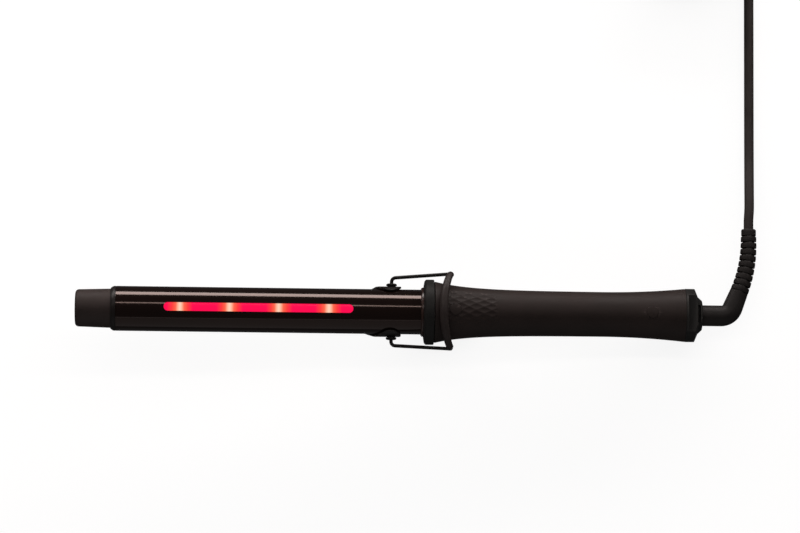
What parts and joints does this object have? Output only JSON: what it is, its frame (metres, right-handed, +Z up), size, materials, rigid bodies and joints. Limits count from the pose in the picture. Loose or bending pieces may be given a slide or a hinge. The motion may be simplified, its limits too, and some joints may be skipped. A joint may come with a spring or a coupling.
{
  "type": "curling iron",
  "caption": "Clip curling iron with a lit window in its barrel, a fold-out wire stand, keys on its handle and a coiled swivel mains lead.",
  "frame": {"origin": "on the table under the middle of the iron's length and width, measured without the mains lead", "axes": "+Z up from the table, towards the lit side; +X towards the handle; the lead leaves towards +Y"},
  "size_m": [0.3855, 0.2896, 0.0588],
  "materials": {
    "tip_plastic": "matte",
    "dark_plastic": "satin",
    "barrel_coating": "polished",
    "red_window": "gloss",
    "light_board_resin": "satin",
    "lamp": "gloss",
    "bare_aluminium": "satin",
    "heater_ceramic": "matte",
    "insulator": "matte",
    "flange_coating": "gloss",
    "collar_plastic": "satin",
    "black_steel": "satin",
    "bare_steel": "satin",
    "soft_touch": "matte",
    "board_resin": "satin",
    "component_case": "satin",
    "display_face": "gloss",
    "wire_glass_sleeve": "matte",
    "wire_plastic": "satin",
    "contact_brass": "satin",
    "clamp_coating": "gloss",
    "sleeve_rubber": "matte",
    "button_plastic": "gloss",
    "relief_rubber": "matte",
    "lead_rubber": "satin",
    "plug_rubber": "satin"
  },
  "bodies": {
    "iron": {"cool_tip": "tip_plastic", "tip_collar": "dark_plastic", "barrel_tube": "barrel_coating", "light_window": "red_window", "light_board": "light_board_resin", "lamps": "lamp", "upper_heat_spreader": "bare_aluminium", "lower_heat_spreader": "bare_aluminium", "heater_plate": "heater_ceramic", "thermal_fuse": "heater_ceramic", "heat_sensor": "heater_ceramic", "barrel_base": "insulator", "barrel_flange": "flange_coating", "collar_ring": "collar_plastic", "pivot_studs": "black_steel", "pivot_caps": "black_steel", "spring_seat": "black_steel", "handle_upper": "soft_touch", "handle_lower": "soft_touch", "handle_screws": "bare_steel", "screw_covers": "soft_touch", "control_board": "board_resin", "board_parts": "component_case", "button_switches": "dark_plastic", "display_module": "dark_plastic", "display_window": "display_face", "heater_wires": "wire_glass_sleeve", "light_wires": "wire_plastic", "supply_wires": "wire_plastic", "swivel_brushes": "contact_brass", "end_cap": "collar_plastic", "clamp_spring": "bare_steel"},
    "clamp": {"clamp_blade": "clamp_coating", "thumb_lever": "clamp_coating", "lever_rivets": "bare_steel", "lever_pad": "dark_plastic"},
    "stand": {"stand_wire": "black_steel", "stand_sleeve": "sleeve_rubber"},
    "power_key": {"power_button": "button_plastic"},
    "minus_key": {"minus_button": "button_plastic"},
    "plus_key": {"plus_button": "button_plastic"},
    "swivel": {"swivel_rotor": "dark_plastic", "slip_rings": "contact_brass", "strain_relief": "relief_rubber", "lead": "lead_rubber", "lead_coil": "lead_rubber", "lead_tie": "dark_plastic", "lead_tail": "lead_rubber", "plug_relief": "plug_rubber", "plug_body": "plug_rubber", "plug_blades": "contact_brass"}
  },
  "joints": [
    {"name": "clamp_hinge", "type": "hinge", "parent": "iron", "child": "clamp", "pos_m": [0.0013, 0, 0.03111], "axis": [0, -1, 0], "range_deg": [0, 11], "stiffness_Nm_per_rad": 1, "springref_deg": -17.19, "deforming": ["clamp_spring"]},
    {"name": "stand_hinge", "type": "hinge", "parent": "iron", "child": "stand", "pos_m": [0.0013, 0, 0.03111], "axis": [0, -1, 0], "range_deg": [0, 105]},
    {"name": "power_press", "type": "slide", "parent": "iron", "child": "power_key", "axis": [0.0958, 0, 0.9954], "range_m": [0, 0.0006], "stiffness_N_per_m": 600, "springref_m": -0.0008},
    {"name": "minus_press", "type": "slide", "parent": "iron", "child": "minus_key", "axis": [0.0958, 0, 0.9954], "range_m": [0, 0.0006], "stiffness_N_per_m": 600, "springref_m": -0.0008},
    {"name": "plus_press", "type": "slide", "parent": "iron", "child": "plus_key", "axis": [0.0958, 0, 0.9954], "range_m": [0, 0.0006], "stiffness_N_per_m": 600, "springref_m": -0.0008},
    {"name": "lead_swivel", "type": "hinge", "parent": "iron", "child": "swivel", "pos_m": [0.16872, 0, 0.01499], "axis": [0.9954, 0, -0.0958], "continuous": true}
  ]
}
